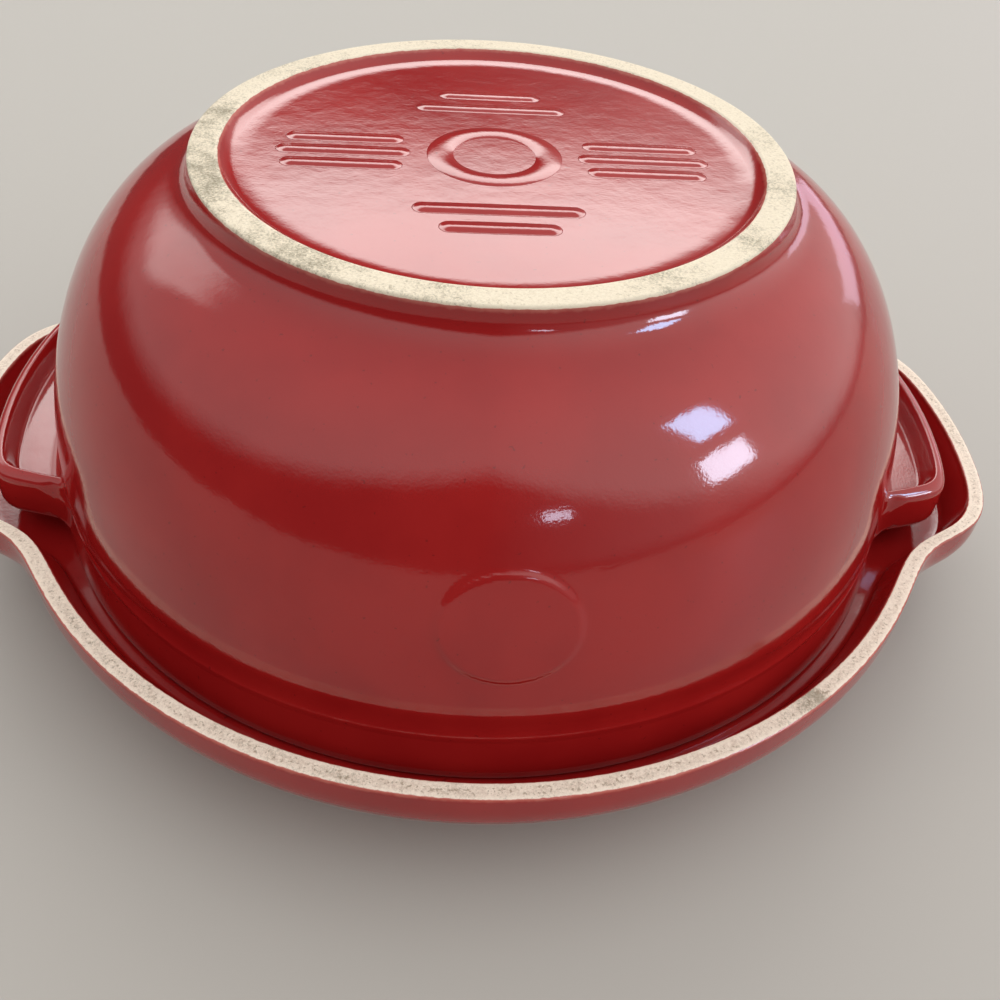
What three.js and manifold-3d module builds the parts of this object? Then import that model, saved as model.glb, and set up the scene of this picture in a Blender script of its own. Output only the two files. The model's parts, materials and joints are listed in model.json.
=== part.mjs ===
// A round ceramic bread baker as it is put away: the lid lies on its flat top,
// and the bowl stands upside down in it, with its rim on the lid's ledge and its foot ring upwards.
// Sizes are in millimetres, +Z is up, and the handles lie along X.
import * as THREE from "three";
import { mergeVertices } from "three/addons/utils/BufferGeometryUtils.js";
import loadManifold from "manifold-3d";

// Bowl: foot ring, shoulder and wall
const bowlHeight = 110.7; // from the rim to the face of the foot ring
const footRadius = 85; // outer edge of the foot ring
const footWidth = 7.7; // flat face of the foot ring
const footHeight = 9.7; // how far the foot ring stands out of the shoulder
const footFillet = 6; // hollow between the foot ring and the shoulder
const recessDepth = 3.2; // disc inside the foot ring, below its face
const recessSlope = 7.7; // width of the sloping side round that disc
const wallWidth = 49.6; // how far the wall swells beyond the foot ring
const bulgeHeight = 17.5; // widest part of the wall, above the rim
const wallThickness = 7.5;
const shoulderThickness = 3.3; // inner floor below the start of the shoulder
const floorInset = 9; // inner floor's edge, inside the foot ring's outer edge
const softEdge = 0.9; // rounding of the foot ring's and the lid rim's edges

// Bowl: collar round the rim
const collarProud = 1.6; // collar beyond the widest part of the wall
const collarHeight = 20.6;
const collarHollow = 3; // hollow above the collar, where the wall runs into it
const collarEdge = 1.6; // rounding of the collar's upper edge
const rimRound = 1.8; // rounding of the rim's edges

// Handles: tabs with a lip round a hollow for the fingertips
const handleOut = 18.8; // how far a handle's round end stands out of the collar
const handleHalfEnd = 44.7; // half the width at the outer edge, before its corners are rounded
const handleTaper = 14; // degrees by which each side leans in
const handleCorner = 13; // radius of the outer corners
const handleUnder = 6; // height of the tab's underside above the rim
const handleDepth = 17.2; // from the tab's underside to the top of its lip
const tabThickness = 9.3; // floor of the hollow
const lipThickness = 5.4;
const lipRound = 2.4;
const leastCorner = 2; // corners of the hollow behind a thick lip

// Lid: rim, lobes and ledge
const rimPlay = 8.6; // between the bowl's collar and the lid's rim
const ledgePlay = 4.4; // between the bowl's collar and the foot of the lid's inner side
const rimWidth = 5.3; // flat face of the lid's rim
const ledgeDepth = 13; // from the rim down to the ledge that the bowl stands on
const ledgeWidth = 14.3;
const lidCove = 3.5; // hollow where the ledge turns up into the side
const lobePlay = 11.4; // between a handle's outer edge and the lobe round it
const lobeSidePlay = 8.3; // between a handle's end corner and the middle of the lobe's flank
const lobeSoftness = 6.5; // length over which a lobe's flank runs out into the round rim
const seatGap = 0.3; // between the bowl's rim and the ledge

// Lid: outer side and dome
const skirtHeight = 5.5; // upright part of the outer side, below the rim
const shoulderDrop = 19.2; // from the rim down to where the dome starts
const shoulderInset = 9.3; // dome's start, inside the outer side
const domeDepth = 29; // from the ledge down to the flat top
const lidTopRadius = 88; // flat top that the lid lies on
const lidThickness = 7;
const shoulderSlope = 0.3; // fall of the shoulder where it runs into the dome
const domeLead = 0.25; // share of the dome's width that keeps to that slope
const topLead = 0.38; // share of the dome's width that keeps level beside the flat top
const hollowLead = 0.45; // share of the inner hollow's side that keeps level beside its floor
const ledgeLead = 0.16; // share of the inner hollow's side that is steep below the ledge

// Facets: round the axis, along each curve of a profile, and round a handle
const bowlSteps = 96;
const lidSteps = 144;
const wallSteps = 12;
const insideSteps = 9;
const shoulderSteps = 5;
const domeSteps = 7;
const hollowSteps = 6;
const cornerSteps = 6;
const lipSteps = 3;

// Places that follow from the sizes
const bulgeRadius = footRadius + wallWidth;
const collarRadius = bulgeRadius + collarProud;
const handleReach = collarRadius + handleOut;
const lidInner = collarRadius + rimPlay;
const lidOuter = lidInner + rimWidth;
const ledgeOuter = collarRadius + ledgePlay;
const ledgeInner = ledgeOuter - ledgeWidth;
const ledgeZ = domeDepth;
const lidRimZ = ledgeZ + ledgeDepth;
const bowlRimZ = ledgeZ + seatGap;
const bowlFootZ = bowlRimZ + bowlHeight;
const collarZ = bowlRimZ + collarHeight;
const lobeGrowth = handleReach + lobePlay - lidInner;
const lobeMiddle = lidInner + lobeGrowth / 2;
const lobeAngle = Math.asin((handleHalfEnd + lobeSidePlay) / lobeMiddle);
const lobeBlend = lobeSoftness / lobeMiddle;

const { Manifold, Mesh: SolidMesh } = await startManifold();

async function startManifold() {
  const library = await loadManifold();
  library.setup();
  return library;
}

const at = (x, y) => new THREE.Vector2(x, y);

// Points of a rounded corner from one place to another, without its first point.
function bend(from, corner, to, steps = 3) {
  return new THREE.QuadraticBezierCurve(from, corner, to).getPoints(steps).slice(1);
}

// Points of a stretch of an ellipse, both ends included.
function ellipse(centre, rx, ry, start, end, steps) {
  return new THREE.EllipseCurve(centre.x, centre.y, rx, ry, start, end, end < start).getPoints(steps);
}

// A closed body turned about Z. Its profile of (radius, height) runs from the axis outwards over the top,
// down the outside and back to the axis, and is taken from its other end so that the faces point outwards.
function turned(profile, steps) {
  return new THREE.LatheGeometry([...profile].reverse(), steps).rotateX(Math.PI / 2);
}

// The bowl's profile: foot recess, foot ring, wall, collar, rim, then up the inside to the axis.
function bowlProfile() {
  const footInner = footRadius - footWidth;
  const recessZ = bowlFootZ - recessDepth;
  const discRadius = footInner - recessSlope;
  const wallZ = bowlRimZ + bulgeHeight;
  const wallRise = bowlFootZ - footHeight - wallZ;
  const wallStart = Math.acos(footFillet / wallWidth);
  const wallEnd = Math.asin((collarZ + collarHollow - wallZ) / wallRise);
  const wall = ellipse(at(footRadius, wallZ), wallWidth, wallRise, wallStart, wallEnd, wallSteps);
  const slope = (wallRise * Math.cos(wallStart)) / (wallWidth * Math.sin(wallStart));
  const filletCorner = at(footRadius, wall[0].y + slope * footFillet);
  const filletTop = at(footRadius, filletCorner.y + footFillet);
  const wallFoot = wall[wall.length - 1];
  const collarTop = at(collarRadius - collarEdge / 2, collarZ);
  const rimInner = bulgeRadius - wallThickness;
  const floorRadius = footRadius - floorInset;
  const floorZ = bowlFootZ - footHeight - shoulderThickness;
  const insideWidth = rimInner - floorRadius;
  const inside = ellipse(at(floorRadius, wallZ), insideWidth, floorZ - wallZ, 0, Math.PI / 2, insideSteps);
  const rimOutside = at(collarRadius, bowlRimZ + rimRound);
  const rimFace = at(rimInner + rimRound, bowlRimZ);
  return [
    at(0, recessZ),
    at(discRadius, recessZ),
    ...bend(at(discRadius, recessZ), at(discRadius + recessSlope / 3, recessZ), at(footInner, bowlFootZ)),
    at(footRadius - softEdge, bowlFootZ),
    at(footRadius, bowlFootZ - softEdge),
    filletTop,
    ...bend(filletTop, filletCorner, wall[0]),
    ...wall.slice(1),
    ...bend(wallFoot, at(wallFoot.x, collarZ + collarEdge / 2), collarTop),
    ...bend(collarTop, at(collarRadius, collarZ), at(collarRadius, collarZ - collarEdge), 2),
    rimOutside,
    ...bend(rimOutside, at(collarRadius, bowlRimZ), at(collarRadius - rimRound, bowlRimZ), 2),
    rimFace,
    ...bend(rimFace, at(rimInner, bowlRimZ), at(rimInner, bowlRimZ + rimRound), 2),
    ...inside,
    at(0, floorZ),
  ];
}

// Outline of a handle on the +X side, drawn in by an inset, from the root circle outwards and back.
// Its end is round about the bowl's axis, and each side is a line that passes that axis at the distance away.
function handleOutline(inset, rootRadius) {
  const lean = THREE.MathUtils.degToRad(handleTaper);
  const reach = handleReach - inset;
  const away = handleReach * Math.sin(Math.asin(handleHalfEnd / handleReach) + lean) - inset;
  const corner = Math.max(handleCorner - inset, leastCorner);
  const turn = Math.asin((away - corner) / (reach - corner)) - lean;
  const root = Math.asin(away / rootRadius) - lean;
  const axis = at(0, 0);
  const middle = at(reach - corner, 0).rotateAround(axis, turn);
  return new THREE.Shape([
    ...ellipse(axis, rootRadius, rootRadius, root, -root, cornerSteps),
    ...ellipse(at(middle.x, -middle.y), corner, corner, lean - Math.PI / 2, -turn, cornerSteps),
    ...ellipse(axis, reach, reach, -turn, turn, cornerSteps).slice(1, -1),
    ...ellipse(middle, corner, corner, turn, Math.PI / 2 - lean, cornerSteps),
  ]);
}

// A handle with its hollow: a tab rooted inside the bowl's wall, with a cut down to the tab's floor.
function handleSolid() {
  const root = collarRadius - wallThickness / 2;
  const block = new THREE.ExtrudeGeometry(handleOutline(0, root), {
    depth: handleDepth - 2 * lipRound,
    bevelSize: lipRound,
    bevelThickness: lipRound,
    bevelOffset: -lipRound,
    bevelSegments: lipSteps,
  });
  block.translate(0, 0, bowlRimZ + handleUnder + lipRound);
  const hollow = new THREE.ExtrudeGeometry(handleOutline(lipThickness, root - wallThickness / 4), {
    depth: handleDepth,
    bevelEnabled: false,
  });
  hollow.translate(0, 0, bowlRimZ + handleUnder + tabThickness);
  return solidOf(block).subtract(solidOf(hollow));
}

function solidOf(geometry) {
  const bare = geometry.clone();
  bare.deleteAttribute("normal");
  bare.deleteAttribute("uv");
  const welded = mergeVertices(bare, 1e-3);
  const index = welded.index ?? bare.index;
  return new Manifold(
    new SolidMesh({
      numProp: 3,
      vertProperties: new Float32Array(welded.attributes.position.array),
      triVerts: new Uint32Array(index.array),
    }),
  );
}

function geometryOf(solid) {
  const mesh = solid.getMesh();
  const geometry = new THREE.BufferGeometry();
  geometry.setAttribute("position", new THREE.BufferAttribute(mesh.vertProperties, mesh.numProp));
  geometry.setIndex(new THREE.BufferAttribute(mesh.triVerts, 1));
  geometry.computeVertexNormals();
  return geometry;
}

function bowlGeometry() {
  const handle = handleSolid();
  const pot = solidOf(turned(bowlProfile(), bowlSteps));
  return geometryOf(pot.add(handle).add(handle.rotate([0, 0, 180])));
}

// The lid's profile without its lobes: up the inside to the rim, then down the outside to the flat top.
function lidProfile() {
  const skirtZ = lidRimZ - skirtHeight;
  const shoulder = at(lidOuter - shoulderInset, lidRimZ - shoulderDrop);
  const domeSpan = shoulder.x - lidTopRadius;
  const shoulderCorner = at(lidOuter, shoulder.y + shoulderSlope * shoulderInset);
  const dome = new THREE.CubicBezierCurve(
    shoulder,
    at(shoulder.x - domeSpan * domeLead, shoulder.y - domeSpan * domeLead * shoulderSlope),
    at(lidTopRadius + domeSpan * topLead, 0),
    at(lidTopRadius, 0),
  ).getPoints(domeSteps);
  const stepEdge = at(ledgeInner - lidThickness / 2, ledgeZ - lidThickness);
  const hollowEdge = at(lidTopRadius - lidThickness, lidThickness);
  const hollowSpan = stepEdge.x - hollowEdge.x;
  const hollow = new THREE.CubicBezierCurve(
    hollowEdge,
    at(hollowEdge.x + hollowSpan * hollowLead, lidThickness),
    at(stepEdge.x - hollowSpan * ledgeLead, stepEdge.y - lidThickness),
    stepEdge,
  ).getPoints(hollowSteps);
  const sideFoot = at(ledgeOuter, ledgeZ + lidCove);
  const rimStart = at(lidInner, lidRimZ - softEdge);
  return [
    at(0, lidThickness),
    ...hollow,
    ...bend(stepEdge, at(ledgeInner, ledgeZ), at(ledgeInner + lidThickness / 2, ledgeZ)),
    at(ledgeOuter - lidCove, ledgeZ),
    ...bend(at(ledgeOuter - lidCove, ledgeZ), at(ledgeOuter - lidCove / 4, ledgeZ), sideFoot),
    rimStart,
    at(lidInner + softEdge, lidRimZ),
    at(lidOuter - softEdge, lidRimZ),
    at(lidOuter, lidRimZ - softEdge),
    at(lidOuter, skirtZ),
    ...bend(at(lidOuter, skirtZ), shoulderCorner, shoulder, shoulderSteps),
    ...dome.slice(1),
    at(0, 0),
  ];
}

// How far round the lobe an angle lies: 1 in front of a handle, 0 on the round rim.
function lobeShare(angle) {
  const fromAxis = Math.abs(Math.atan(Math.tan(angle)));
  return 0.5 - 0.5 * Math.tanh((fromAxis - lobeAngle) / (2 * lobeBlend));
}

// Everything outside the ledge moves outwards with the lobes, and the ledge stretches to follow.
function lidGeometry() {
  const geometry = turned(lidProfile(), lidSteps);
  const place = geometry.attributes.position;
  for (let i = 0; i < place.count; i++) {
    const radius = Math.hypot(place.getX(i), place.getY(i));
    const share = THREE.MathUtils.smoothstep(radius, ledgeInner, ledgeOuter - lidCove);
    const angle = Math.atan2(place.getY(i), place.getX(i));
    const grown = radius + lobeGrowth * share * lobeShare(angle);
    place.setX(i, grown * Math.cos(angle));
    place.setY(i, grown * Math.sin(angle));
  }
  geometry.computeVertexNormals();
  return geometry;
}

function piece(name, geometry, colour) {
  const glaze = new THREE.MeshStandardMaterial({ color: colour, roughness: 0.18, metalness: 0 });
  const mesh = new THREE.Mesh(geometry, glaze);
  mesh.name = name;
  return mesh;
}

const baker = new THREE.Group();
baker.add(piece("lid", lidGeometry(), "#8f1f22"));
baker.add(piece("bowl", bowlGeometry(), "#96211f"));

export default baker;
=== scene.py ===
# %% [markdown]
# # A ceramic bread baker, put away
# The baker is two loose pieces of stoneware under a deep red glaze. The shallow lid lies on its flat top,
# and the deep bowl stands upside down in it, with its bare foot ring upwards. The frame already holds both
# pieces as plain solids. This lesson makes finer surfaces that fill the same boxes, glazes them, and lets
# them stand for those solids.

# %% Load the frame
import json
import math

import bpy
import numpy as np
from mathutils import Matrix, Vector


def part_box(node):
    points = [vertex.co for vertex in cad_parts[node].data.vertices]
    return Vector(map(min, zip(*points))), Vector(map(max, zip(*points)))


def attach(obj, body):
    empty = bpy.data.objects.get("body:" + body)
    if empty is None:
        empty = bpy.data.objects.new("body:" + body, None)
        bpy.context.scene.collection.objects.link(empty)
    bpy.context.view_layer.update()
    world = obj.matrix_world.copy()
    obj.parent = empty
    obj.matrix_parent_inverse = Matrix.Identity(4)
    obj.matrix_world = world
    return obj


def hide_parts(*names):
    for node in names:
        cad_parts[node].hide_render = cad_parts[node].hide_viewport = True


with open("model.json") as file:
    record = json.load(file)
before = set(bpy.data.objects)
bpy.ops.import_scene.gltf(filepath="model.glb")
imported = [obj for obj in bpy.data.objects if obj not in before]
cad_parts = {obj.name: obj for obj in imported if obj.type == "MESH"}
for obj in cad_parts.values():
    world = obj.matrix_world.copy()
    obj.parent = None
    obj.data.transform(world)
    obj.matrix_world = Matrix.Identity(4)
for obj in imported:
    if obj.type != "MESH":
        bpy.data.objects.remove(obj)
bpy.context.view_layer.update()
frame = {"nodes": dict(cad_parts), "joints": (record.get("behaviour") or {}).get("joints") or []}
joint_names = [joint["name"] for joint in frame["joints"]]
print("solids in the frame:", sorted(frame["nodes"]), "joints:", joint_names)

# %% [markdown]
# ## Sizes
# Blender works in metres, but a potter's sizes are easier to read in millimetres, so every size of the
# baker below is in millimetres and is turned into metres when a mesh is made. What the solids already show
# is read from their boxes.

# %% Sizes that the frame gives
MM = 0.001

bowl_low, bowl_high = (np.array(corner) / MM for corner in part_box("bowl"))
lid_high = np.array(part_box("lid")[1]) / MM

handle_reach = bowl_high[0]
collar_radius = bowl_high[1]
bowl_rim_z = bowl_low[2]
foot_z = bowl_high[2]
lobe_reach = lid_high[0]
lid_outer = lid_high[1]
lid_rim_z = lid_high[2]
print(f"bowl: collar {2 * collar_radius:.1f} mm across, from {bowl_rim_z:.1f} to {foot_z:.1f} mm high")
print(f"lid: {2 * lid_outer:.1f} mm across, {2 * lobe_reach:.1f} mm over its lobes, {lid_rim_z:.1f} mm high")

# %% [markdown]
# ## Camera
# The photograph was taken by hand from close by, so the perspective is strong and the picture leans a
# little. The camera could be aimed with a Track To constraint, but that always keeps it level. Here its
# three axes are worked out from a heading, a tilt and a roll, and become the columns of its matrix.

# %% Camera
photo_pixels = 1000
focal_pixels = 1054
eye = Vector((-18.15, -288.8, 266.5)) * MM
heading, tilt, roll = math.radians(5.47), math.radians(42.17), math.radians(4.62)

forward = Vector((math.sin(heading) * math.cos(tilt), math.cos(heading) * math.cos(tilt), -math.sin(tilt)))
level = Vector((math.cos(heading), -math.sin(heading), 0))
right = math.cos(roll) * level + math.sin(roll) * level.cross(forward)

camera = bpy.data.objects.new("camera", bpy.data.cameras.new("camera"))
camera.data.lens = camera.data.sensor_width * focal_pixels / photo_pixels
camera.matrix_world = Matrix((right, right.cross(forward), -forward)).transposed().to_4x4()
camera.location = eye
bpy.context.scene.collection.objects.link(camera)
bpy.context.scene.camera = camera
print(f"camera: {camera.data.lens:.1f} mm lens, {eye.length:.3f} m from the lid's middle")

# %% [markdown]
# ## Curves for a profile
# Both pieces are round apart from handles and lobes, so each is a profile carried round an axis. Blender's
# Spin could carry it, but numpy can also change the profile on its way round. A profile is an array of
# (radius, height) rows, put together from a few kinds of stretch. Every stretch leaves out its first point,
# because the stretch before it ends there.

# %% Stretches of a profile
def at(radius, height):
    """One point of a profile."""
    return np.array([radius, height], float)


def line(start, end, steps):
    """A straight stretch: start plus t times the way to the end, for t from 0 to 1."""
    t = np.linspace(0, 1, steps + 1)[1:, None]
    return start + t * (end - start)


def bend(start, corner, end, steps):
    """A rounded corner: the quadratic curve (1-t)^2 start + 2t(1-t) corner + t^2 end."""
    t = np.linspace(0, 1, steps + 1)[1:, None]
    return (1 - t) ** 2 * start + 2 * t * (1 - t) * corner + t**2 * end


def swell(start, lead, trail, end, steps):
    """A long curve: the cubic (1-t)^3 start + 3t(1-t)^2 lead + 3t^2(1-t) trail + t^3 end."""
    t = np.linspace(0, 1, steps + 1)[1:, None]
    return (1 - t) ** 3 * start + 3 * t * (1 - t) ** 2 * lead + 3 * t**2 * (1 - t) * trail + t**3 * end


def oval(centre, width, rise, turns):
    """Part of an ellipse: centre plus (width cos a, rise sin a) for each angle a."""
    return centre + np.stack([width * np.cos(turns), rise * np.sin(turns)], axis=-1)


print("a test bend has", len(bend(at(0, 1), at(1, 1), at(1, 0), 8)), "points after its first")

# %% Distances and spacing
def run(profile):
    """Length along a profile from its start: the sum of the steps between its points."""
    steps = np.linalg.norm(np.diff(profile, axis=0), axis=1)
    return np.concatenate([[0], np.cumsum(steps)])


def smooth(value):
    """Smooth step: 3t^2 - 2t^3 for t from 0 to 1, level before and after."""
    t = np.clip(value, 0, 1)
    return t * t * (3 - 2 * t)


def crowded(first, last, zones, coarse, samples=20001):
    """Values from first to last, a coarse step apart, but closer in each zone (middle, half width, step).

    The wanted number of values per unit is summed along the way. Equal steps of that sum give the values.
    """
    way = np.linspace(first, last, samples)
    density = np.full_like(way, 1 / coarse)
    for middle, half, fine in zones:
        near = smooth(2 - np.abs(way - middle) / half)
        density = np.maximum(density, near / fine)
    total = np.concatenate([[0], np.cumsum((density[1:] + density[:-1]) / 2 * np.diff(way))])
    count = int(round(total[-1]))
    return np.interp(np.linspace(0, total[-1], count + 1), total, way)


def beside_handles(angle, half, fine):
    """Zones for crowded() to both sides of each handle: plus and minus this angle, and pi less it."""
    return [(side * middle, half, fine) for side in (1, -1) for middle in (angle, math.pi - angle)]


print("a crowded test row has", len(crowded(0, 1, [(0.5, 0.1, 0.01)], 0.1)), "values instead of 11")

# %% [markdown]
# ## Closed surfaces
# A grid of points becomes a skin of four-sided faces. Its columns go round the axis and join up. Its first
# and last rows either shrink to one point on the axis, which closes the piece with a fan of triangles, or
# join each other, as on a ring. Building the index arrays with numpy keeps tens of thousands of faces
# quick.

# %% Grid to skin
def skin(points, ring=False):
    """Vertices of a closed grid [row, column] and its groups of faces, which look outwards.

    Quads join each row to the next, the last column to the first and, on a ring, the last row to the first.
    Otherwise the first and the last row are one point each, with a fan of triangles to the row beside it.
    """
    rows, columns = points.shape[:2]
    if ring:
        corner = np.arange(rows * columns).reshape(rows, columns)
        corner = np.concatenate([corner, corner[:1]])
        vertices = points.reshape(-1, 3)
    else:
        inner = points[1:-1].reshape(-1, 3)
        vertices = np.concatenate([points[:1, 0], inner, points[-1:, 0]])
        corner = 1 + np.arange(len(inner)).reshape(rows - 2, columns)
    corner = np.concatenate([corner, corner[:, :1]], axis=1)
    quads = np.stack([corner[:-1, :-1], corner[1:, :-1], corner[1:, 1:], corner[:-1, 1:]], axis=-1)
    groups = [quads.reshape(-1, 4)]
    if not ring:
        first, last = np.zeros(columns, int), np.full(columns, len(vertices) - 1)
        groups.append(np.stack([first, corner[0, :-1], corner[0, 1:]], axis=-1))
        groups.append(np.stack([corner[-1, :-1], last, corner[-1, 1:]], axis=-1))
    return vertices, groups


def spread(values, shape):
    """A value for each row or each column of a grid, as one list in the order of skin() without a ring."""
    grid = np.broadcast_to(values, shape)
    return np.concatenate([grid[:1, 0], grid[1:-1].ravel(), grid[-1:, 0]])


def turn(radius, height, angles):
    """Points of a turned grid: (radius cos angle, radius sin angle, height)."""
    radius, height, angles = np.broadcast_arrays(radius, height, angles)
    return np.stack([radius * np.cos(angles), radius * np.sin(angles), height], axis=-1)


test_ring = turn(np.ones((4, 1)), np.arange(4.0)[:, None], np.arange(6.0))
print("a test ring of 4 by 6 points has", len(skin(test_ring, ring=True)[1][0]), "faces")

# %% Skin to piece
def make_piece(name, vertices, groups, layers, finish, body):
    """A smooth mesh in metres at the origin, with named values per vertex, finished and riding on a body."""
    mesh = bpy.data.meshes.new(name)
    mesh.from_pydata((vertices * MM).tolist(), [], sum([group.tolist() for group in groups], []))
    mesh.polygons.foreach_set("use_smooth", np.ones(len(mesh.polygons), bool))
    for layer, values in layers.items():
        mesh.attributes.new(layer, "FLOAT", "POINT").data.foreach_set("value", values.astype(np.float32))
    mesh.materials.append(finish)
    mesh.validate()
    piece = bpy.data.objects.new(name, mesh)
    bpy.context.scene.collection.objects.link(piece)
    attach(piece, body)
    triangles = sum(len(group) * (group.shape[1] - 2) for group in groups)
    print(f"{name}: {len(mesh.vertices)} points, {triangles} triangles")
    return piece


print("meshes before the first piece:", sorted(mesh.name for mesh in bpy.data.meshes))

# %% [markdown]
# ## Shader maths
# A material is a tree of nodes. Wiring each node by hand hides what is being worked out, so this small
# class wraps a socket and lets Python's operators add the Math nodes. One method adds any other node.

# %% Sockets as values
class Wire:
    """A socket of a node tree. Operators on wires and numbers add Math nodes; node() adds any other node."""

    def __init__(self, tree, socket=None):
        self.tree, self.socket = tree, socket

    def node(self, kind, settings=None, inputs=None, output=0):
        """Adds a node, sets its settings first, and then gives each input a value or a link."""
        made = self.tree.nodes.new(kind)
        for name, value in (settings or {}).items():
            setattr(made, name, value)
        for name, value in (inputs or {}).items():
            if isinstance(value, Wire):
                self.tree.links.new(value.socket, made.inputs[name])
            else:
                made.inputs[name].default_value = value
        return Wire(self.tree, made.outputs[output] if made.outputs else None)

    def math(self, operation, *values):
        """The result of one Math node."""
        return self.node("ShaderNodeMath", {"operation": operation}, dict(enumerate(values)))

    def __add__(self, other):
        return self.math("ADD", self, other)

    def __radd__(self, other):
        return self.math("ADD", other, self)

    def __sub__(self, other):
        return self.math("SUBTRACT", self, other)

    def __rsub__(self, other):
        return self.math("SUBTRACT", other, self)

    def __mul__(self, other):
        return self.math("MULTIPLY", self, other)

    def __rmul__(self, other):
        return self.math("MULTIPLY", other, self)

    def size(self):
        """The value without its sign."""
        return self.math("ABSOLUTE", self)

    def step(self, low, high):
        """0 below low, 1 above high and a smooth step between."""
        settings = {"interpolation_type": "SMOOTHSTEP"}
        return self.node("ShaderNodeMapRange", settings, {"Value": self, "From Min": low, "From Max": high})

    def blend(self, first, second):
        """A colour between two: the first where this value is 0 and the second where it is 1."""
        return self.node("ShaderNodeMix", {"data_type": "RGBA"}, {0: self, 6: first, 7: second}, output=2)


def new_tree(owner):
    """The empty node tree of a material or a world, ready for wires."""
    owner.use_nodes = True
    owner.node_tree.nodes.clear()
    return Wire(owner.node_tree)


operators = [name for name, made in vars(Wire).items() if name.startswith("__") and callable(made)]
print("operators on a wire:", [name for name in operators if name != "__init__"])

# %% [markdown]
# ## Glaze and bare biscuit
# The red glaze is a glassy coat over cream clay. It is a little uneven, as brushed or dipped glaze is, and
# its surface has the faint ripple of orange peel, which breaks up the edge of every highlight. The potter
# wipes it off the foot ring and the lid's rim, so that they don't stick in the kiln, and there the biscuit
# shows: pale and rough, with sandy grain and brown pits along its scuffed middle, and with grey rub marks.
# Two materials with a hard border could do this, but the real border wavers, so one material mixes both by
# the value `bare`: the distance in millimetres from the border, above 0 on the biscuit.

# %% Colours of the stoneware
glaze_red = (0.345, 0.0120, 0.0115, 1)
glaze_deep = (0.300, 0.0085, 0.0090, 1)
glaze_thin = (0.560, 0.170, 0.130, 1)
glaze_pin = (0.110, 0.006, 0.006, 1)
rub_grey = (0.210, 0.180, 0.115, 1)
speck_brown = (0.330, 0.250, 0.170, 1)
glaze_roughness = 0.06
biscuit_roughness = 0.7
glaze_ior = 1.55
bump_depth = 0.03
print("glaze red:", glaze_red[:3], "roughness", glaze_roughness)

# %% Stoneware finish
def stoneware(name, cream, sand, pitted, soil):
    """The finish of a piece: red glaze where `bare` is below 0, and biscuit from cream to sand above.

    Brown pits show by the share `pitted`, and grey rub marks by the share `soil`, most where `wear` is high.
    """
    material = bpy.data.materials.new(name)
    tree = new_tree(material)
    place = tree.node("ShaderNodeTexCoord", output="Object")

    def noise(size, detail=2.0, roughness=0.5):
        """Cloudy noise from 0 to 1, whose patches are about this many millimetres across."""
        inputs = {"Vector": place, "Scale": 1 / (size * MM), "Detail": detail, "Roughness": roughness}
        return tree.node("ShaderNodeTexNoise", {}, inputs)

    def layer(label):
        """A value that the mesh carries at each vertex."""
        return tree.node("ShaderNodeAttribute", {"attribute_name": label}, output="Fac")

    # The border wavers, and the glaze thins out just before it.
    bare = layer("bare")
    wear = layer("wear")
    biscuit = (bare + 0.6 * (noise(2.2) - 0.5)).step(-0.14, 0.14)
    thin = (bare + 1.2 * (noise(2.5) - 0.5)).step(-1.3, -0.1)

    # Glaze: broad deeper clouds, a few dark pinholes, and the paler thin edge.
    red = noise(34, detail=3).step(0.35, 0.68).blend(glaze_red, glaze_deep)
    red = (0.5 * noise(1.3, detail=1).step(0.73, 0.78)).blend(red, glaze_pin)
    red = (0.6 * thin).blend(red, glaze_thin)

    # Biscuit: grain and pits, most in the scuffed middle, and rub marks over them.
    scuffed = (bare + 1.6 * (noise(3.0) - 0.5)).step(0.4, 1.5)
    grain = (0.35 + 0.65 * scuffed) * noise(0.8, detail=4, roughness=0.75).step(0.36, 0.66)
    specks = scuffed * (noise(1.1, detail=2, roughness=0.6) + 0.08 * wear).step(0.60, 0.68)
    smudge = 0.35 * noise(4.5, detail=2) + 0.65 * noise(0.7, detail=3, roughness=0.8)
    rub = (smudge + 0.22 * wear).step(0.58, 0.84)
    clay = grain.blend(cream, sand)
    clay = (pitted * specks).blend(clay, speck_brown)
    clay = (soil * rub).blend(clay, rub_grey)

    # Fine relief: orange peel in the glaze, grain and pits in the biscuit.
    ripple = 1.8 * noise(8.0, detail=1) + 0.5 * noise(2.2, detail=1) + 0.42 * noise(0.7, detail=1)
    pits = 1.2 * grain - 1.8 * specks
    height = ripple * (1 - biscuit) + pits * biscuit
    bump = tree.node("ShaderNodeBump", {}, {"Strength": 1.0, "Distance": bump_depth * MM, "Height": height})
    gloss = glaze_roughness + 0.04 * noise(18, detail=3) + biscuit_roughness * biscuit

    surface = tree.node(
        "ShaderNodeBsdfPrincipled",
        {},
        {"Base Color": biscuit.blend(red, clay), "Roughness": gloss, "Normal": bump, "IOR": glaze_ior},
    )
    tree.node("ShaderNodeOutputMaterial", {}, {"Surface": surface})
    print(f"{name}: {len(material.node_tree.nodes)} nodes")
    return material


bowl_cream, bowl_sand = (0.83, 0.74, 0.59, 1), (0.72, 0.63, 0.48, 1)
lid_cream, lid_sand = (0.89, 0.78, 0.66, 1), (0.65, 0.53, 0.43, 1)
bowl_finish = stoneware("bowl_stoneware", bowl_cream, bowl_sand, pitted=0.3, soil=0.85)
lid_finish = stoneware("lid_stoneware", lid_cream, lid_sand, pitted=0.7, soil=0.7)

# %% [markdown]
# ## The lid
# The lid is a shallow dish with a ledge that the bowl's rim stands on. Round each handle its side swings
# out in a lobe. It could be drawn as a plan outline and raised, but then its rounded rim would need its own
# mesh. Here the profile is turned first, and then every point outside the ledge moves outwards by the
# lobe's growth times a share that is 1 in front of a handle and falls to 0 along the lobe's flank.

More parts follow.
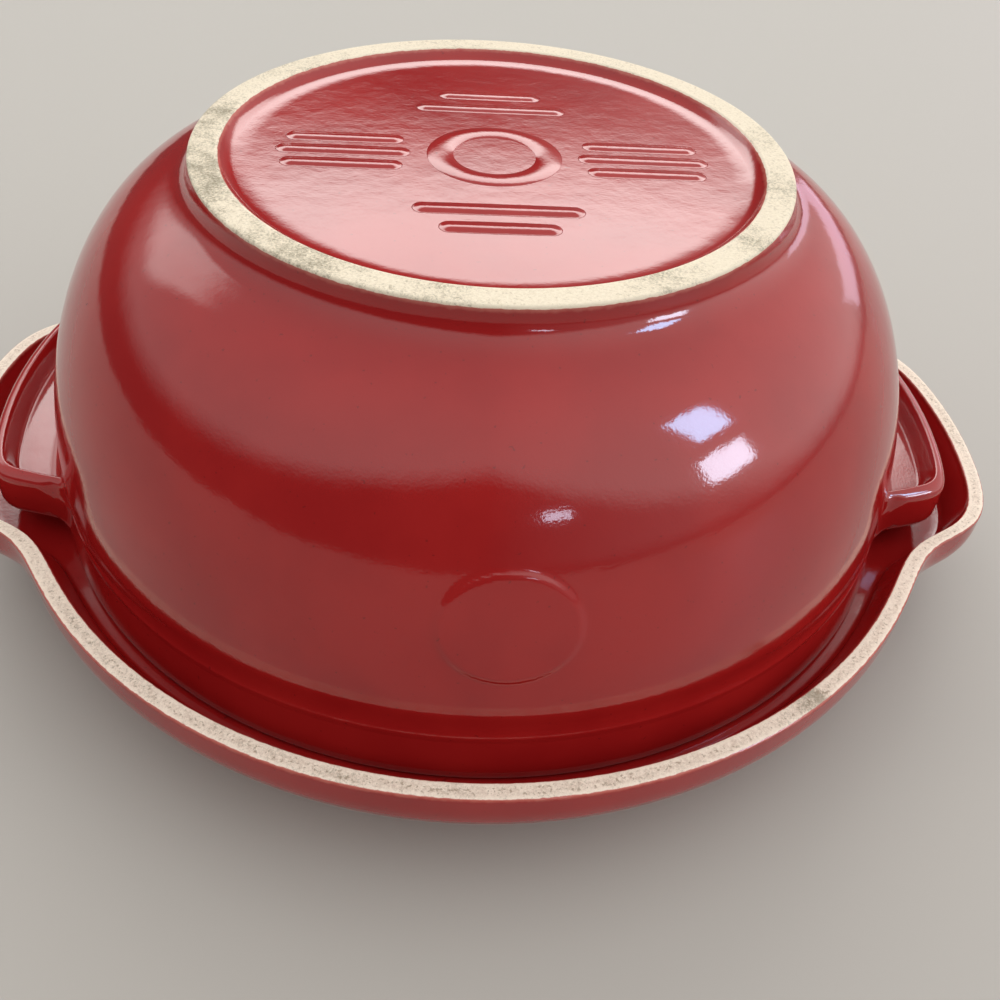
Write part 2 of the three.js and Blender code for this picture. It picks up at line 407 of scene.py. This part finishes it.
# %% Lid sizes
lid_rim_width = 5.3
lid_ledge_depth = 13.0
lid_side_lean = 4.2
lid_ledge_width = 14.3
lid_cove = 2.2
lid_rim_round = 1.0
lid_skirt = 5.5
lid_shoulder_drop = 19.2
lid_shoulder_inset = 9.3
lid_shoulder_slope = 0.3
lid_top_radius = 88.0
lid_wall = 7.0
lobe_angle = math.radians(19.9)
lobe_flank = math.radians(2.39)

lid_inner = lid_outer - lid_rim_width
ledge_outer = lid_inner - lid_side_lean
ledge_inner = ledge_outer - lid_ledge_width
ledge_z = lid_rim_z - lid_ledge_depth


def lobe_share(angles):
    """1 at the X axis, 0 away from it: half of 1 - tanh((angle from the axis - lobe angle) / 2 flanks)."""
    from_axis = np.abs(np.arctan(np.tan(angles)))
    return 0.5 - 0.5 * np.tanh((from_axis - lobe_angle) / (2 * lobe_flank))


lobe_growth = (lobe_reach - lid_outer) / lobe_share(0.0)
print(f"ledge from {ledge_inner:.1f} to {ledge_outer:.1f} mm, lobes grow by {lobe_growth:.1f} mm")

# %% Lid profile
def lid_profile():
    """From the middle of the hollow up over the ledge and the rim, then down the outside to the flat top.

    The points where the stretches meet come first. A lead or trail is a share of its stretch's width.
    """
    hollow_edge = at(lid_top_radius - lid_wall, lid_wall)
    step_edge = at(ledge_inner - lid_wall / 2, ledge_z - lid_wall)
    span = step_edge[0] - hollow_edge[0]
    hollow_lead = hollow_edge + at(0.45 * span, 0)
    hollow_trail = step_edge - at(0.16 * span, lid_wall)
    ledge_start = at(ledge_inner + lid_wall / 2, ledge_z)
    cove_start = at(ledge_outer - lid_cove, ledge_z)
    side_foot = at(ledge_outer, ledge_z + lid_cove)
    side_top = at(lid_inner, lid_rim_z - lid_rim_round)
    face_in = at(lid_inner + lid_rim_round, lid_rim_z)
    face_out = at(lid_outer - lid_rim_round, lid_rim_z)
    skirt_top = at(lid_outer, lid_rim_z - lid_rim_round)
    skirt_foot = at(lid_outer, lid_rim_z - lid_skirt)
    shoulder = at(lid_outer - lid_shoulder_inset, lid_rim_z - lid_shoulder_drop)
    shoulder_corner = at(lid_outer, shoulder[1] + lid_shoulder_slope * lid_shoulder_inset)
    dome = shoulder[0] - lid_top_radius
    dome_lead = shoulder - dome * 0.25 * at(1, lid_shoulder_slope)
    dome_trail = at(lid_top_radius + 0.38 * dome, 0)
    top_edge = at(lid_top_radius, 0)
    profile = np.concatenate([
        [at(0, lid_wall)],
        line(at(0, lid_wall), hollow_edge, 8),
        swell(hollow_edge, hollow_lead, hollow_trail, step_edge, 14),
        bend(step_edge, at(ledge_inner, ledge_z), ledge_start, 8),
        line(ledge_start, cove_start, 6),
        bend(cove_start, at(ledge_outer - lid_cove / 4, ledge_z), side_foot, 8),
        line(side_foot, side_top, 8),
        bend(side_top, at(lid_inner, lid_rim_z), face_in, 6),
        line(face_in, face_out, 10),
        bend(face_out, at(lid_outer, lid_rim_z), skirt_top, 6),
        line(skirt_top, skirt_foot, 6),
        bend(skirt_foot, shoulder_corner, shoulder, 16),
        swell(shoulder, dome_lead, dome_trail, top_edge, 18),
        line(top_edge, at(0, 0), 8),
    ])
    border = [at(lid_inner + 0.4, lid_rim_z - 0.2), at(lid_outer - 0.5, lid_rim_z - 0.1)]
    return profile, border


def bare_band(profile, border):
    """Distance along a profile from the nearer of two borders: above 0 between them, below 0 outside."""
    length = run(profile)
    first, last = (length[np.argmin(np.linalg.norm(profile - place, axis=1))] for place in border)
    return np.minimum(length - first, last - length)


lid_outline, lid_border = lid_profile()
print(f"lid profile: {len(lid_outline)} points, {run(lid_outline)[-1]:.0f} mm long")

# %% Lid surface
flanks = beside_handles(lobe_angle, math.radians(8), math.radians(0.5))
lid_angles = crowded(-math.pi, math.pi, flanks, math.radians(2.5))[:-1]

lid_rows = lid_outline[:, :1]
outside = smooth((lid_rows - ledge_inner) / (ledge_outer - lid_cove - ledge_inner))
lid_radius = lid_rows + lobe_growth * outside * lobe_share(lid_angles)
lid_points = turn(lid_radius, lid_outline[:, 1:], lid_angles)


def wear_round(angles, marks):
    """Rub marks round a ring: the largest of some bells, strength times exp(-(angle from middle / width)^2).

    Each mark is (middle, width, strength), with both angles in degrees.
    """
    middle, width, strength = np.array(marks).T[:, :, None]
    away = np.degrees(np.angle(np.exp(1j * (angles - np.radians(middle)))))
    return np.max(strength * np.exp(-((away / width) ** 2)), axis=0)


lid_marks = [(-54, 2.2, 1.5), (-57.5, 1.5, 1.0), (-100, 40, 0.5), (-135, 10, 0.5), (0, 14, 0.4),
             (90, 60, 0.3)]
lid_layers = {
    "bare": spread(bare_band(lid_outline, lid_border)[:, None], lid_points.shape[:2]),
    "wear": spread(wear_round(lid_angles, lid_marks)[None], lid_points.shape[:2]),
}
lid = make_piece("lid_dish", *skin(lid_points), lid_layers, lid_finish, "lid")
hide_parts("lid")

# %% [markdown]
# ## The bowl
# The wall is part of a tall ellipse between the foot ring and the collar. Each handle is a tab with a
# raised lip round a hollow for the fingertips, and it grows out of the collar with a soft fillet. It could
# be a second mesh pushed into the wall, but then a hard line would show where glaze flows round a corner on
# the real bowl. So the handle is part of the same grid: at each angle the stretch of profile along the
# collar moves out to the handle's own section, as far as the tab reaches at that angle.

# %% Bowl sizes
foot_radius = 85.0
foot_width = 7.7
foot_height = 9.7
foot_fillet = 7.4
foot_round = 0.9
recess_depth = 3.2
recess_slope = 7.7
wall_width = 49.6
bulge_height = 17.5
wall_thickness = 7.5
shoulder_thickness = 3.3
floor_inset = 9.0
collar_height = 16.0
collar_hollow = 9.5
collar_groove = 0.25
collar_groove_rise = 4.0
collar_turn_rise = 1.2
collar_ease = at(0.54, -1.2)
collar_draft = 1.5
collar_edge = 2.0
rim_round = 1.8

foot_inner = foot_radius - foot_width
recess_z = foot_z - recess_depth
disc_radius = foot_inner - recess_slope
wall_z = bowl_rim_z + bulge_height
wall_rise = foot_z - foot_height - wall_z
collar_z = bowl_rim_z + collar_height
rim_inner = foot_radius + wall_width - wall_thickness
floor_radius = foot_radius - floor_inset
floor_z = foot_z - foot_height - shoulder_thickness


def wall_turn(height):
    """Angle on the wall's ellipse at a height: arcsin of the height above its middle over its rise."""
    return math.asin((height - wall_z) / wall_rise)


wall_middle = at(foot_radius, wall_z)
print(f"wall: ellipse of {wall_width:.1f} by {wall_rise:.1f} mm")
print(f"disc in the foot: {2 * disc_radius:.1f} mm across")

# %% Handle sizes
handle_half = 44.7
handle_lean = math.radians(14)
handle_soft = 2.6
handle_fillet = 7.0
handle_fade = 6.0
handle_under = 6.0
handle_depth = 17.2
tab_thickness = 9.3
lip_crest = 3.2
lip_slope = 3.6
lip_round = 3.2
under_round = 4.5
collar_fillet = 2.5
wall_run = 4.5
wall_sweep = 3.2
wall_soft = 1.4
section_margin = 1.0

tab_under_z = bowl_rim_z + handle_under
lip_z = tab_under_z + handle_depth
hollow_z = tab_under_z + tab_thickness
section_z = collar_z + collar_hollow + section_margin
side_reach = handle_reach * math.sin(math.asin(handle_half / handle_reach) + handle_lean)


def tab_inset(radius, angle):
    """How far a place lies inside the tab's edge: the soft least of its distances to end and side."""
    end = handle_reach - radius
    side = side_reach - radius * np.sin(angle + handle_lean)
    return -handle_soft * np.logaddexp(-end / handle_soft, -side / handle_soft)


def tab_edge(angle, nudge=0.01):
    """Radius of the tab's edge at each angle: where the inset is 0, found by Newton's steps from outside."""
    radius = np.minimum(handle_reach, side_reach / np.sin(angle + handle_lean))
    for _ in range(8):
        slope = (tab_inset(radius + nudge, angle) - tab_inset(radius, angle)) / nudge
        radius = radius - tab_inset(radius, angle) / slope
    return radius


def soft_excess(value, softness):
    """0 below -softness, the value above softness, and a parabola between: the plan of a fillet."""
    near = np.clip(value + softness, 0, 2 * softness) ** 2 / (4 * softness)
    return np.where(value > softness, value, near)


print(f"handle: reaches {handle_reach:.1f} mm, lip at {lip_z:.1f} mm, hollow at {hollow_z:.1f} mm")

# %% [markdown]
# The medallion on the bowl's front is a plain round field with a soft edge. It is flatter than the wall, so
# it stands proud mostly along its edge and mirrors the room a little differently. A disc laid on the wall
# would show a hard seam, so it is pressed into the grid too: points of the wall move along the wall's
# normal by the field's height.

# %% Upper part of the bowl
medallion_angle = math.radians(-89.2)
medallion_lean = math.radians(15)
medallion_z = 81.0
medallion_radius = 17.3
medallion_squat = 1.14
medallion_edge = 1.8
medallion_rise = 0.42
medallion_flat = 0.0009


def upper_profile():
    """From the middle of the foot's disc over the foot ring and its fillet to the wall's first point.

    A shelf that rises by some tenths of a millimetre lies between the disc and the recess's steep side.
    """
    disc_edge = at(disc_radius - 1.6, recess_z)
    shelf_edge = at(disc_radius + 3.4, recess_z + 0.3)
    slope_top = at(foot_inner - 0.45, foot_z - 0.4)
    face_in = at(foot_inner + 0.3, foot_z)
    face_out = at(foot_radius - foot_round, foot_z)
    side_top = at(foot_radius, foot_z - foot_round)
    first_turn = math.acos(foot_fillet / wall_width)
    wall_top = oval(wall_middle, wall_width, wall_rise, first_turn)
    fall = wall_rise * math.cos(first_turn) / (wall_width * math.sin(first_turn))
    corner = at(foot_radius, wall_top[1] + fall * foot_fillet)
    fillet_top = corner + at(0, foot_fillet)
    profile = np.concatenate([
        [at(0, recess_z)],
        line(at(0, recess_z), disc_edge, 6),
        bend(disc_edge, at(disc_radius + 1.0, recess_z), shelf_edge, 8),
        bend(shelf_edge, at(disc_radius + 5.4, recess_z + 0.55), slope_top, 10),
        bend(slope_top, at(foot_inner, foot_z), face_in, 4),
        line(face_in, face_out, 8),
        bend(face_out, at(foot_radius, foot_z), side_top, 5),
        line(side_top, fillet_top, 1),
        bend(fillet_top, corner, wall_top, 12),
    ])
    border = [at(foot_inner - 0.5, foot_z - 0.5), at(foot_radius, foot_z - foot_round)]
    return profile, first_turn, border


foot_outline, first_turn, foot_border = upper_profile()
medallion_turn = wall_turn(medallion_z)
field_rows = (-medallion_turn, 0.2, 0.011)
wall_turns = crowded(-first_turn, -wall_turn(section_z), [field_rows], 0.034)[1:]
wall_outline = oval(wall_middle, wall_width, wall_rise, -wall_turns)
print(f"foot: {len(foot_outline)} rows, wall: {len(wall_outline)} rows")

# %% Columns round the bowl
lip_columns = beside_handles(math.radians(18), math.radians(5), math.radians(0.25))
field_columns = (medallion_angle, math.radians(7), math.radians(0.42))
bowl_angles = crowded(-math.pi, math.pi, [*lip_columns, field_columns], math.radians(3))[:-1]
from_handle = np.abs(np.arctan(np.tan(bowl_angles)))
print(f"bowl: {len(bowl_angles)} columns")

# %% Plain collar
def plain_collar(shares):
    """The collar's own profile from the wall down past the handle: hollow, soft edge, then the upright side.

    The points lie at the given shares of the profile's length.
    """
    start = oval(wall_middle, wall_width, wall_rise, wall_turn(section_z))
    foot_turn = wall_turn(collar_z + collar_hollow)
    foot = oval(wall_middle, wall_width, wall_rise, foot_turn)
    foot_lean = wall_width * math.tan(foot_turn) / wall_rise
    groove = at(foot[0] - collar_groove, collar_z + collar_groove_rise)
    turn_in = at(groove[0], collar_z + collar_turn_rise)
    middle = turn_in + collar_ease
    edge_out = at(collar_radius - collar_draft, collar_z - collar_edge)
    turn_out = middle + collar_ease * (edge_out[0] - middle[0]) / collar_ease[0]
    end = at(collar_radius, tab_under_z - collar_fillet)
    path = np.concatenate([
        [start],
        line(start, foot, 8),
        swell(foot, foot + at(2 * foot_lean, -2), groove + at(0, 2), groove, 20),
        bend(groove, turn_in, middle, 12),
        bend(middle, turn_out, edge_out, 16),
        line(edge_out, end, 40),
    ])
    length = run(path) / run(path)[-1]
    return np.stack([np.interp(shares, length, path[:, axis]) for axis in (0, 1)], axis=-1)


print("collar from", plain_collar(np.array([0, 1])).round(1).tolist(), "as radius and height")

# %% Handle section
def lip_height(inset):
    """Height of the tab's upper side: a rounded outer edge, the lip's crest, then a fall to the hollow."""
    rounding = lip_round * (1 - np.sqrt(1 - np.clip(1 - inset / lip_round, 0, 1) ** 2))
    return lip_z - rounding - (lip_z - hollow_z) * smooth((inset - lip_crest) / lip_slope)


def handle_section(angle, rows_side=9, rows_under=14, top_share=0.55):
    """Radius and height of each row at each angle: out over the lip, down the tab's edge and back under it.

    Each row has a place on the plain collar and moves out from there by its part of how far the tab stands
    proud. Its height is mixed between the collar's and the tab's, and is all the tab's where the tab stands
    out well.
    """
    top = crowded(0, 1, [(0.0, 0.10, 0.012), (0.84, 0.17, 0.012)], 0.05)[:, None]
    under = 1 - np.linspace(0, 1, rows_under)[:, None] ** 1.8
    out = np.concatenate([top, np.ones((rows_side, 1)), under])
    shares = np.concatenate([np.linspace(0, top_share, len(top), endpoint=False),
                             np.linspace(top_share, 1, rows_side + rows_under)])
    plain = plain_collar(shares)[:, None, :]
    start_radius = plain[0, 0, 0]
    rest = collar_radius + np.minimum(0, (start_radius - collar_radius) * (1 - out))
    rest[len(top):] = collar_radius
    proud = soft_excess(tab_edge(angle) - collar_radius, handle_fillet)
    share = smooth(proud / handle_fade)
    radius = rest + out * proud
    inset = np.maximum(tab_inset(radius, angle), 0)

    lip = lip_height(inset[:len(top)])
    off_wall = np.clip((radius[:len(top)] - start_radius) / wall_run, 0, 1)
    wall_side = hollow_z + (section_z - hollow_z) * (1 - off_wall) ** wall_sweep
    top_z = lip + soft_excess(wall_side - lip, wall_soft)

    side_low, side_high = tab_under_z + under_round, lip_z - lip_round
    side_z = np.linspace(side_high, side_low, rows_side + 1, endpoint=False)[1:, None]
    rounding = under_round * (1 - np.sqrt(1 - np.clip(1 - inset[-rows_under:] / under_round, 0, 1) ** 2))
    inner = collar_fillet * (1 - np.clip(under * proud / collar_fillet, 0, 1)) ** 2
    under_z = tab_under_z + rounding - inner

    height = np.concatenate([top_z, np.broadcast_to(side_z, (rows_side, len(angle))), under_z])
    mixed = plain[..., 0] + share * (rest - plain[..., 0])
    return mixed + out * proud, plain[..., 1] + share * (height - plain[..., 1])


section_radius, section_height = handle_section(from_handle)
print(f"handle section: {len(section_radius)} rows, widest {section_radius.max():.1f} mm")

# %% Lower part of the bowl
def lower_profile():
    """From the collar under the handle round the rim, up the inside and along the floor to the axis."""
    start = at(collar_radius, tab_under_z - collar_fillet)
    rim_outside = at(collar_radius, bowl_rim_z + rim_round)
    face_out = at(collar_radius - rim_round, bowl_rim_z)
    face_in = at(rim_inner + rim_round, bowl_rim_z)
    inside_foot = at(rim_inner, bowl_rim_z + rim_round)
    inside_wall = at(rim_inner, wall_z)
    turns = np.linspace(0, math.pi / 2, 17)[1:]
    return np.concatenate([
        line(start, rim_outside, 4),
        bend(rim_outside, at(collar_radius, bowl_rim_z), face_out, 5),
        line(face_out, face_in, 4),
        bend(face_in, at(rim_inner, bowl_rim_z), inside_foot, 5),
        line(inside_foot, inside_wall, 4),
        oval(at(floor_radius, wall_z), rim_inner - floor_radius, floor_z - wall_z, turns),
        line(at(floor_radius, floor_z), at(0, floor_z), 5),
    ])


inside_outline = lower_profile()
print(f"rim and inside: {len(inside_outline)} rows")

# %% Medallion
def medallion(radius, height, angles):
    """Height of the plain round field: its rise plus a part of the distance squared, up to a soft edge."""
    across = radius * np.angle(np.exp(1j * (angles - medallion_angle)))
    along = medallion_squat * (height - medallion_z) / math.cos(medallion_lean)
    away = np.hypot(across, along)
    field = medallion_rise + medallion_flat * np.minimum(away, medallion_radius) ** 2
    return field * (1 - smooth((away - medallion_radius) / medallion_edge + 0.5))


upper = np.concatenate([foot_outline, wall_outline])
slope = np.gradient(upper, axis=0)
normal = np.stack([-slope[:, 1], slope[:, 0]], axis=-1) / np.linalg.norm(slope, axis=1, keepdims=True)
press = medallion(upper[:, :1], upper[:, 1:], bowl_angles)
upper_radius = upper[:, :1] + normal[:, :1] * press
upper_height = upper[:, 1:] + normal[:, 1:] * press
print(f"medallion: at most {press.max():.2f} mm high")

# %% Bowl surface
columns = (1, len(bowl_angles))
bowl_radius = np.concatenate([upper_radius, section_radius[1:], np.tile(inside_outline[:, :1], columns)])
bowl_height = np.concatenate([upper_height, section_height[1:], np.tile(inside_outline[:, 1:], columns)])
bowl_points = turn(bowl_radius, bowl_height, bowl_angles)

foot_band = bare_band(foot_outline, foot_border)
past_foot = foot_band[-1] * np.ones(len(bowl_points) - len(foot_band))
foot_marks = [(172, 16, 0.9), (198, 20, 1.0), (232, 16, 0.9), (258, 10, 0.6), (298, 8, 0.7), (322, 7, 0.8),
              (345, 9, 0.75), (8, 7, 0.6), (60, 14, 0.35), (100, 16, 0.45), (140, 18, 0.6)]
bowl_layers = {
    "bare": spread(np.concatenate([foot_band, past_foot])[:, None], bowl_points.shape[:2]),
    "wear": spread(wear_round(bowl_angles, foot_marks)[None], bowl_points.shape[:2]),
}
bowl = make_piece("bowl_body", *skin(bowl_points), bowl_layers, bowl_finish, "bowl")
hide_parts("bowl")

# %% [markdown]
# ## Relief under the foot
# The round field inside the foot ring carries a low moulded relief, as a press mould leaves: here a plain
# ring in the middle and plain ribs on its four sides. The glaze softens every edge, so each form is a low
# swelling. Bump in the material could fake that, but it would be lost in the mesh, so these are surfaces
# too. The ring's section closes on itself, and a rib is a flat dome over a long rounded outline. All of
# them join in one mesh.

# %% Relief sizes
relief_rise = 0.45
relief_sink = 0.35
ring_radius = 15.6
ring_half = 3.8
ring_slope = 1.6
rib_half = 3.3
side_rib_x = 43.0
side_ribs = ((8.5, 17.0), (0.0, 19.0), (-8.5, 17.0))
end_ribs = ((33.0, 23.0), (43.0, 16.0))
ribs = [(side * side_rib_x, y, length) for side in (-1, 1) for y, length in side_ribs]
ribs += [(0.0, side * y, length) for side in (-1, 1) for y, length in end_ribs]
print(f"relief: {len(ribs)} ribs and a ring, {relief_rise} mm high")

# %% Foot relief
def relief_ring():
    """A round swelling: across it goes -half cos u, and its height is rise sin^1.6 u above the field.

    Below the field the height is sink sin u, so that the section closes on itself.
    """
    u = np.linspace(0, 2 * math.pi, 37)[:-1, None]
    radius = ring_radius - ring_half * np.cos(u)
    swelling = relief_rise * np.abs(np.sin(u)) ** ring_slope
    lift = np.where(np.sin(u) > 0, swelling, relief_sink * np.sin(u))
    return turn(radius, recess_z + lift, np.linspace(0, 2 * math.pi, 121)[:-1])


def relief_rib(x, y, length, rows_top=13, rows_under=3):
    """A long swelling: outlines at a share s of the half width round a spine, lifted by rise (1 - s^2)^2.

    The outlines grow from the middle to the full half width, and three more go back along the underside.
    """
    back = np.linspace(1, 0, rows_under + 1)[1:]
    share = np.concatenate([np.linspace(0, 1, rows_top), back])[:, None]
    on_top = np.arange(len(share))[:, None] < rows_top
    lift = np.where(on_top, relief_rise * (1 - share**2) ** 2, -relief_sink)
    angles = np.linspace(0, 2 * math.pi, 97)[:-1]
    spine = (length - rib_half) * np.minimum(40 * share, 1) * np.clip(3 * np.cos(angles), -1, 1)
    along = x + spine + rib_half * share * np.cos(angles)
    across = y + rib_half * share * np.sin(angles)
    return np.stack(np.broadcast_arrays(along, across, recess_z + lift), axis=-1)


def gather(skins):
    """Several closed skins as one: vertices in a row, and each one's faces counted on from those before."""
    starts = np.cumsum([0] + [len(vertices) for vertices, _ in skins])
    groups = [group + start for start, (_, faces) in zip(starts, skins) for group in faces]
    return np.concatenate([vertices for vertices, _ in skins]), groups


relief_skins = [skin(relief_ring(), ring=True)] + [skin(relief_rib(*rib)) for rib in ribs]
relief_points, relief_faces = gather(relief_skins)
all_glaze = np.full(len(relief_points), -9.0)
relief_layers = {"bare": all_glaze, "wear": np.zeros(len(relief_points))}
make_piece("foot_relief", relief_points, relief_faces, relief_layers, bowl_finish, "bowl")

# %% [markdown]
# ## Floor and light
# The stage is a plain pale floor. The light is soft: a sky that is bright overhead and darker towards the
# horizon, as in a room with a pale ceiling, with two brighter patches behind the baker. Lamps could make
# those patches too, but patches of the sky have soft borders and cast no hard shadows. The camera itself
# sees an even pale sky instead, by Light Path's Is Camera Ray. Glossy red clay has little colour of its own
# in the highlights, so what it mirrors decides how round it looks. That is why a few small window panes
# stand round it: lamps that show in reflections alone.

# %% Floor
floor_half = 4.0
floor_drop = 0.3 * MM
floor_grey = (0.43, 0.410, 0.380, 1)
floor_mesh = bpy.data.meshes.new("floor")
floor_mesh.from_pydata(
    [(x * floor_half, y * floor_half, -floor_drop) for x, y in ((-1, -1), (1, -1), (1, 1), (-1, 1))],
    [],
    [(0, 1, 2, 3)],
)
floor = bpy.data.objects.new("floor", floor_mesh)
bpy.context.scene.collection.objects.link(floor)
floor_finish = bpy.data.materials.new("pale_floor")
floor_tree = new_tree(floor_finish)
floor_inputs = {"Base Color": floor_grey, "Roughness": 0.6}
floor_surface = floor_tree.node("ShaderNodeBsdfPrincipled", {}, floor_inputs)
floor_tree.node("ShaderNodeOutputMaterial", {}, {"Surface": floor_surface})
floor_mesh.materials.append(floor_finish)
print(f"floor: {2 * floor_half:.0f} m wide, {floor_drop / MM:.1f} mm under the lid")

# %% Sky
horizon_light = 0.09
ceiling_light = 0.90
ceiling_fade = 0.40
right_light = 0.78
wide_patch_light = 4.4
narrow_patch_light = 1.8
seen_light = 0.6
sky_white = (1.0, 0.985, 0.96, 1)

world = bpy.data.worlds.new("room")
bpy.context.scene.world = world
sky = new_tree(world)
direction = {"Vector": sky.node("ShaderNodeTexCoord", output="Generated")}
side, depth, height = (sky.node("ShaderNodeSeparateXYZ", {}, direction, output=axis) for axis in "XYZ")
around = math.degrees(1) * depth.math("ARCTAN2", depth, side)
above = math.degrees(1) * height.math("ARCSINE", height)
right_side = side.math("MAXIMUM", side, 0.0)
left_side = right_side - side


def patch(middle, half, low, high, soft):
    """1 in a patch of the sky and 0 outside it, with soft borders; all angles are in degrees."""
    beside = (around - middle).size().step(half - soft, half + soft)
    beyond = above.step(high - soft, high + soft)
    return (1 - beside) * (1 - beyond) * above.step(low - soft, low + soft)


# The ceiling's border comes lower at the back and at both sides.
ceiling = (height + 0.1 * depth + 0.5 * right_side + 0.33 * left_side).step(0.46, 0.64)
brightness = horizon_light + ceiling * (ceiling_light - ceiling_fade * depth)
brightness = brightness + right_light * right_side * height.step(-0.06, 0.08)
brightness = brightness + wide_patch_light * patch(middle=88, half=29, low=24.6, high=40.5, soft=3)
brightness = brightness + narrow_patch_light * patch(middle=131, half=13, low=23, high=41, soft=4)
seen = sky.node("ShaderNodeLightPath", output="Is Camera Ray")
brightness = brightness * (1 - seen) + seen_light * seen
background = sky.node("ShaderNodeBackground", {}, {"Color": sky_white, "Strength": brightness})
sky.node("ShaderNodeOutputWorld", {}, {"Surface": background})
print(f"sky: {len(world.node_tree.nodes)} nodes")

# %% Window panes
pane_distance = 1.6
pane_aim = Vector((0, 0, 0.1))


def panel(name, azimuth, elevation, width, height, radiance, colour):
    """A flat light that faces the baker from a direction; its power is radiance times pi times its area."""
    light = bpy.data.lights.new(name, "AREA")
    light.shape = "RECTANGLE"
    light.size, light.size_y = width, height
    light.energy = radiance * math.pi * width * height
    light.color = colour
    lamp = bpy.data.objects.new(name, light)
    around, above = math.radians(azimuth), math.radians(elevation)
    away = Vector((math.cos(above) * math.cos(around), math.cos(above) * math.sin(around), math.sin(above)))
    lamp.location = away * pane_distance + pane_aim
    lamp.rotation_euler = away.to_track_quat("Z", "Y").to_euler()
    lamp.visible_camera = False
    lamp.visible_diffuse = False
    bpy.context.scene.collection.objects.link(lamp)
    print(f"{name}: {light.energy:.1f} W at {pane_distance} m")


panel("upper_pane", -25.5, 37.2, width=0.30, height=0.38, radiance=18.0, colour=(0.36, 0.64, 1.0))
panel("lower_pane", -28.3, 18.6, width=0.38, height=0.28, radiance=16.5, colour=(0.70, 0.80, 1.0))
panel("small_pane", -74, 18.5, width=0.18, height=0.09, radiance=11.0, colour=(0.70, 0.80, 1.0))
panel("right_pane", 45, 8, width=0.77, height=0.26, radiance=1.6, colour=(0.92, 0.76, 1.0))

# %% [markdown]
# ## Colour view
# The colours are shown as they are written, without a film look.

# %% Finish
bpy.context.scene.view_settings.view_transform = "Standard"
